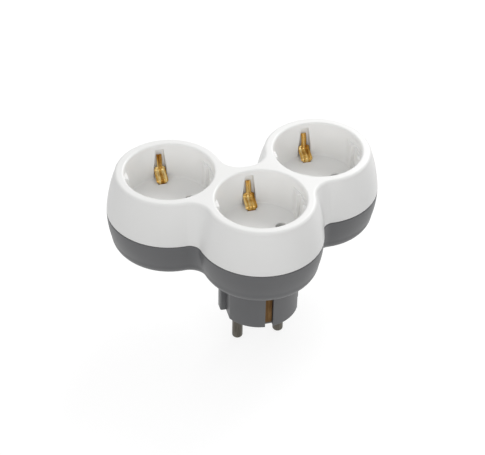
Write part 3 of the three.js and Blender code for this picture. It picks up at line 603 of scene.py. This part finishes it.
def bottom_housing():
    top = PARTING_Z - SEAM_GAP / 2
    fillet_top = BOTTOM_Z + BOTTOM_EDGE_FILLET
    widest = housing_radius(fillet_top)
    steps = []
    for i in range(0, 12):
        a = math.pi / 2 * i / 12
        z = fillet_top - BOTTOM_EDGE_FILLET * math.cos(a)
        steps.append((z, widest - BOTTOM_EDGE_FILLET * (1 - math.sin(a))))
    steps += levels(fillet_top, top - HOUSING_EDGE, HOUSING_LEVELS, housing_radius)
    for i in range(1, FILLET_STEPS + 1):
        a = math.pi / 2 * i / FILLET_STEPS
        z = top - HOUSING_EDGE * (1 - math.sin(a))
        steps.append((z, housing_radius(z) - HOUSING_EDGE * (1 - math.cos(a))))
    housing = lofted(steps)
    tongue = BELLY_RADIUS - (SHELL_WALL - TONGUE_WALL)
    joined(housing, lofted([(top - SHELL_WALL, tongue), (top + TONGUE_HEIGHT, tongue)]))

    def inner(z):
        return housing_radius(z) - SHELL_WALL

    floor = BOTTOM_Z + BOTTOM_WALL
    hollow = [(floor, inner(fillet_top) - (fillet_top - floor))]
    hollow += levels(fillet_top, top, INNER_LEVELS, inner)
    hollow.append((top + TONGUE_HEIGHT + PAST, inner(top)))
    cut(housing, lofted(hollow))
    bore = SCREW_RADIUS + CLEARANCE
    head = SCREW_HEAD_RADIUS + CLEARANCE
    low = BOTTOM_Z + BOTTOM_WALL / 2
    joined(housing, plug_body(),
           *[post(head + BOSS_WALL, low, SCREW_SEAT_Z + BOSS_WALL, at) for at in SCREW_PLACES],
           *[post(bore + BOSS_WALL + BOSS_STEP, low, CARRIER_Z - CLEARANCE, at) for at in SCREW_PLACES],
           *[post(bore + BOSS_WALL, low, top, at) for at in SCREW_PLACES])
    cut(housing, plug_room(), earth_slot(1), earth_slot(-1), strip_hole(1), strip_hole(-1),
        *[post(PIN_RADIUS + CLEARANCE, -PAST, PIN_BOSS_HEIGHT + PAST, Vector((side * PIN_X, 0)))
          for side in (-1, 1)],
        *[post(head, BOTTOM_Z - PAST, SCREW_SEAT_Z, at) for at in SCREW_PLACES],
        *[post(bore, BOTTOM_Z, top + PAST, at) for at in SCREW_PLACES])
    return finished(housing, "housing_shell", GREY, "grey_plastic", SHELL_SHARP, "bottom_housing")


# Earth clips: one strip folded along a path, with pressed ribs, a narrow tongue and a broad nose

# The path is (y, z) from the tongue's tip down to the foot, and the widths are (z, width)
CLIP_PATH = [
    (21.25, 52.3), (21.1, 51.9), (20.6, 50.8), (20.1, 49.2), (19.9, 47.4), (19.9, 45.9), (19.8, 45.0),
    (19.2, 44.2), (17.8, 43.6), (16.1, 43.3), (14.9, 42.8), (14.25, 41.9), (14.2, 40.0), (14.2, 38.8),
    (17.2, 38.8),
]
CLIP_WIDTHS = [
    (52.3, 2.1), (52.0, 2.4), (46.6, 2.5), (46.2, 4.2), (45.9, 4.9), (44.6, 5.2), (42.9, 5.4), (42.4, 5.4),
    (42.0, 5.2), (41.7, 4.7), (41.45, 3.6), (39.1, 3.6), (38.9, 5.2), (38.0, 5.2),
]
CLIP_RIBS = (-0.52, 0.0, 0.52)
CLIP_RIB_HEIGHT = 0.32
CLIP_RIB_WIDTH = 0.18
CLIP_RIB_END = 0.6
CLIP_RIB_FADE = 1.2
CLIP_POINTS = 25
CLIP_EDGE_POWER = 8
CLIP_EDGE_SHARE = 0.25
CORNER_NEAR = 0.75
CORNER_FAR = 0.25


def rounded_path(points, rounds=3):
    for _ in range(rounds):
        smooth = [points[0]]
        for a, b in zip(points, points[1:]):
            for p, q in ((CORNER_NEAR, CORNER_FAR), (CORNER_FAR, CORNER_NEAR)):
                smooth.append((a[0] * p + b[0] * q, a[1] * p + b[1] * q))
        smooth.append(points[-1])
        points = smooth
    return points


def clip_width(z):
    for (z0, w0), (z1, w1) in zip(CLIP_WIDTHS, CLIP_WIDTHS[1:]):
        if z1 <= z <= z0:
            return w1 + (w0 - w1) * (z - z1) / (z0 - z1)
    return CLIP_WIDTHS[0][1] if z > CLIP_WIDTHS[0][0] else CLIP_WIDTHS[-1][1]


def clip(name, socket, side):
    path = rounded_path(CLIP_PATH)
    half_t = CLIP_THICKNESS / 2
    rings = []
    for i, (y, z) in enumerate(path):
        before, after = path[max(i - 1, 0)], path[min(i + 1, len(path) - 1)]
        dy, dz = after[0] - before[0], after[1] - before[1]
        length = math.hypot(dy, dz)
        ny, nz = dz / length, -dy / length
        width = clip_width(z)
        ribbed = min(1.0, max(0.0, (z - WELL_FLOOR_Z - CLIP_RIB_END) / CLIP_RIB_FADE))
        inner, outer = [], []
        for k in range(CLIP_POINTS):
            u = -1 + 2 * k / (CLIP_POINTS - 1)
            edge = math.sqrt(max(0.0, 1 - abs(u) ** CLIP_EDGE_POWER))
            rib = sum(math.exp(-((u - at) / CLIP_RIB_WIDTH) ** 2) for at in CLIP_RIBS)
            lift = CLIP_RIB_HEIGHT * rib * ribbed * edge
            thick = half_t * (CLIP_EDGE_SHARE + (1 - CLIP_EDGE_SHARE) * edge)
            x = u * width / 2
            inner.append((x, y + ny * (thick + lift), z + nz * (thick + lift)))
            outer.append((x, y - ny * (thick - lift), z - nz * (thick - lift)))
        ring = inner + list(reversed(outer))
        rings.append([(socket.x + side * x, socket.y + side * py, pz) for x, py, pz in ring])
    piece = stacked(rings)
    turned_outward(piece)
    node = "earth_clip_" + name + ("_rear" if side > 0 else "_front")
    return finished(piece, node.replace("earth_clip", "clip_blade"), BRASS, "brass", CLIP_SHARP, node)


def turned_outward(obj):
    """Turns the faces outward, because a clip's path runs from the top down."""
    bpy.context.view_layer.objects.active = obj
    obj.select_set(True)
    bpy.ops.object.mode_set(mode="EDIT")
    bpy.ops.mesh.select_all(action="SELECT")
    bpy.ops.mesh.normals_make_consistent(inside=False)
    bpy.ops.object.mode_set(mode="OBJECT")
    obj.select_set(False)


# Pins and screws

PIN_FLANGE_Z = PIN_BOSS_HEIGHT + CLEARANCE
PIN_FLANGE_RADIUS = 3.6
PIN_FLANGE_THICKNESS = 1.2
PIN_TAIL_Z = PIN_FLANGE_Z + PIN_FLANGE_THICKNESS
PIN_TAIL_RADIUS = 1.5
PIN_TAIL_LENGTH = 2.4
PIN_FRONT_LENGTH = 6


def plug_pin(side, name):
    t = PIN_TIP_ROUND
    profile = []
    for i in range(0, 9):
        a = math.pi / 2 * i / 8
        profile.append((PIN_RADIUS - t + t * math.sin(a), -PIN_LENGTH + t * (1 - math.cos(a))))
    profile += [(PIN_RADIUS, -PIN_LENGTH + PIN_FRONT_LENGTH), (PIN_RADIUS, PIN_FLANGE_Z),
                (PIN_FLANGE_RADIUS, PIN_FLANGE_Z),
                (PIN_FLANGE_RADIUS, PIN_TAIL_Z), (PIN_TAIL_RADIUS, PIN_TAIL_Z),
                (PIN_TAIL_RADIUS, PIN_TAIL_Z + PIN_TAIL_LENGTH)]
    pin = turned(profile, POST, Vector((side * PIN_X, 0)))
    return finished(pin, "turned_pin_" + name, NICKEL, "nickel", PIN_SHARP, "plug_pin_" + name)


SCREW_HEAD_HEIGHT = 2.0
SCREW_FACE_RADIUS = 2.1
SCREW_FACE_ROUND = 0.5
SCREW_CROWN_STEP = 0.25
SCREW_CROWN_LEVELS = (0.12, 0.4, 0.9)
THREAD_CLEAR = 2.0
THREAD_PITCH = 0.7
THREAD_DEPTH = 0.22
SCREW_POINT_LENGTH = 1.2
SCREW_POINT_STEP = 0.2
SCREW_POINT_RADIUS = 0.15
CROSS_REACH = 1.6
CROSS_HALF_WIDTH = 0.4
CROSS_DEPTH = 1.1


def screw(at, number):
    seat = SCREW_SEAT_Z - CLEARANCE
    low = seat - SCREW_HEAD_HEIGHT
    face, middle, rim = SCREW_CROWN_LEVELS
    profile = [
        (SCREW_FACE_RADIUS - SCREW_FACE_ROUND, low),
        (SCREW_FACE_RADIUS, low + face),
        (SCREW_FACE_RADIUS + SCREW_CROWN_STEP, low + middle),
        (SCREW_HEAD_RADIUS, low + rim),
        (SCREW_HEAD_RADIUS, seat),
        (SCREW_RADIUS, seat),
    ]
    thread = seat + THREAD_CLEAR
    while thread < SCREW_TIP_Z - THREAD_CLEAR:
        profile += [(SCREW_RADIUS - THREAD_DEPTH, thread), (SCREW_RADIUS, thread + THREAD_PITCH / 2)]
        thread += THREAD_PITCH
    profile.append((SCREW_RADIUS - SCREW_POINT_STEP, SCREW_TIP_Z - SCREW_POINT_LENGTH))
    profile.append((SCREW_POINT_RADIUS, SCREW_TIP_Z))
    body = turned(profile, POST)
    wide, narrow = CROSS_REACH, CROSS_HALF_WIDTH
    cut(body,
        block(-wide, wide, -narrow, narrow, low - PAST, low + CROSS_DEPTH),
        block(-narrow, narrow, -wide, wide, low - PAST, low + CROSS_DEPTH))
    body.data.transform(Matrix.Translation((at.x, at.y, 0)))
    return finished(body, "cross_screw_%d" % number, STEEL, "steel", SCREW_SHARP, "screw_%d" % number)


top_cover()
bottom_housing()
for label, spot in SOCKETS.items():
    clip(label, spot, 1)
    clip(label, spot, -1)
plug_pin(-1, "left")
plug_pin(1, "right")
for index, spot in enumerate(SCREW_PLACES):
    screw(spot, index + 1)

# Pieces that stay as the frame has them get their finish here
FINISHES = {
    "contact_carrier": DARK,
    "plug_earth_contact": STRIP,
    "earth_frame": BRASS,
    "bus_bar": BRASS,
    "pin_strap": BRASS,
    "pin_contact": BRASS,
    "earth_clip": BRASS,
    "plug_pin": NICKEL,
    "screw": STEEL,
    "top_cover": WHITE,
    "bottom_housing": GREY,
}
for node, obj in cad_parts.items():
    for start, material in FINISHES.items():
        if node.startswith(start):
            for holder in obj.material_slots:
                holder.material = material


# Floor, light and camera

FLOOR_Z = -PIN_LENGTH
FLOOR_REACH = 4
FLOOR_COLOR = (0.42, 0.42, 0.42, 1)
SEEN_FLOOR_COLOR = (0.3, 0.3, 0.3, 1)
SEEN_FLOOR_GLOW = 0.8


def floor_material():
    material = bpy.data.materials.new("pale_floor")
    material.use_nodes = True
    tree = material.node_tree
    tree.nodes.clear()
    output = tree.nodes.new("ShaderNodeOutputMaterial")
    path = tree.nodes.new("ShaderNodeLightPath")
    seen = tree.nodes.new("ShaderNodeMath")
    seen.operation = "MAXIMUM"
    tree.links.new(path.outputs["Is Camera Ray"], seen.inputs[0])
    mirrored = tree.nodes.new("ShaderNodeMath")
    mirrored.operation = "MAXIMUM"
    tree.links.new(path.outputs["Is Glossy Ray"], mirrored.inputs[0])
    tree.links.new(path.outputs["Is Transmission Ray"], mirrored.inputs[1])
    tree.links.new(mirrored.outputs[0], seen.inputs[1])
    plain = tree.nodes.new("ShaderNodeBsdfDiffuse")
    plain.inputs["Color"].default_value = FLOOR_COLOR
    shade = tree.nodes.new("ShaderNodeBsdfDiffuse")
    shade.inputs["Color"].default_value = SEEN_FLOOR_COLOR
    glow = tree.nodes.new("ShaderNodeEmission")
    glow.inputs["Strength"].default_value = SEEN_FLOOR_GLOW
    both = tree.nodes.new("ShaderNodeAddShader")
    tree.links.new(shade.outputs[0], both.inputs[0])
    tree.links.new(glow.outputs[0], both.inputs[1])
    pick = tree.nodes.new("ShaderNodeMixShader")
    tree.links.new(seen.outputs[0], pick.inputs[0])
    tree.links.new(plain.outputs[0], pick.inputs[1])
    tree.links.new(both.outputs[0], pick.inputs[2])
    tree.links.new(pick.outputs[0], output.inputs["Surface"])
    return material


floor_corners = []
for x, y in ((-1, -1), (1, -1), (1, 1), (-1, 1)):
    floor_corners.append((x * FLOOR_REACH, y * FLOOR_REACH, FLOOR_Z * MM))
floor = raw("floor", floor_corners, [(0, 1, 2, 3)])
floor.data.materials.append(floor_material())

WORLD_LIGHT = 0.56
world = bpy.data.worlds.new("studio")
world.use_nodes = True
tree = world.node_tree
tree.nodes.clear()
output = tree.nodes.new("ShaderNodeOutputWorld")
path = tree.nodes.new("ShaderNodeLightPath")
room = tree.nodes.new("ShaderNodeBackground")
room.inputs["Color"].default_value = (1, 1, 1, 1)
room.inputs["Strength"].default_value = WORLD_LIGHT
white = tree.nodes.new("ShaderNodeBackground")
white.inputs["Color"].default_value = (1, 1, 1, 1)
white.inputs["Strength"].default_value = 1.0
pick = tree.nodes.new("ShaderNodeMixShader")
tree.links.new(path.outputs["Is Camera Ray"], pick.inputs[0])
tree.links.new(room.outputs[0], pick.inputs[1])
tree.links.new(white.outputs[0], pick.inputs[2])
tree.links.new(pick.outputs[0], output.inputs["Surface"])
bpy.context.scene.world = world


def lamp(name, place, target, size, energy):
    data = bpy.data.lights.new(name, "AREA")
    data.shape = "DISK"
    data.size = size
    data.energy = energy
    obj = bpy.data.objects.new(name, data)
    bpy.context.scene.collection.objects.link(obj)
    obj.location = place
    obj.rotation_euler = (Vector(target) - Vector(place)).to_track_quat("-Z", "Y").to_euler()
    return obj


lamp("back_light", (0.62, 0.72, 0.80), (0, 0, 0.05), 0.7, 7.2)
lamp("left_light", (-0.95, -0.55, 0.45), (0, 0, 0.03), 0.7, 1.2)
lamp("right_light", (1.0, -0.5, 0.5), (0.05, 0, 0.03), 0.5, 0.5)
lamp("front_light", (-0.2, -1.0, 0.42), (0, 0, 0.04), 0.6, 1.9)

# Camera found from the photo's rims, seam and pins
TURN = math.radians(15.65)
PITCH = math.radians(39.487)
ROLL = math.radians(1.08)
EYE_ACROSS = -7.7
EYE_BACK = -506.806
EYE_Z = 459.9
SENSOR_WIDTH = 36.0
LENS = 113.12
NEAREST_SEEN = 0.01
ahead = Vector((math.sin(TURN) * math.cos(PITCH), math.cos(TURN) * math.cos(PITCH), -math.sin(PITCH)))
across = Vector((math.cos(TURN), -math.sin(TURN), 0))
above = across.cross(ahead)
right = across * math.cos(ROLL) + above * math.sin(ROLL)
up = above * math.cos(ROLL) - across * math.sin(ROLL)
level = Vector((math.sin(TURN), math.cos(TURN), 0))
eye = (across * EYE_ACROSS + level * EYE_BACK + Vector((0, 0, EYE_Z))) * MM
camera_data = bpy.data.cameras.new("photo_camera")
camera_data.sensor_fit = "HORIZONTAL"
camera_data.sensor_width = SENSOR_WIDTH
camera_data.lens = LENS
camera_data.clip_start = NEAREST_SEEN
camera = bpy.data.objects.new("photo_camera", camera_data)
bpy.context.scene.collection.objects.link(camera)
camera.matrix_world = Matrix((
    (right.x, up.x, -ahead.x, eye.x),
    (right.y, up.y, -ahead.y, eye.y),
    (right.z, up.z, -ahead.z, eye.z),
    (0, 0, 0, 1),
))
bpy.context.scene.camera = camera
bpy.context.scene.view_settings.view_transform = "Standard"

bpy.context.view_layer.update()
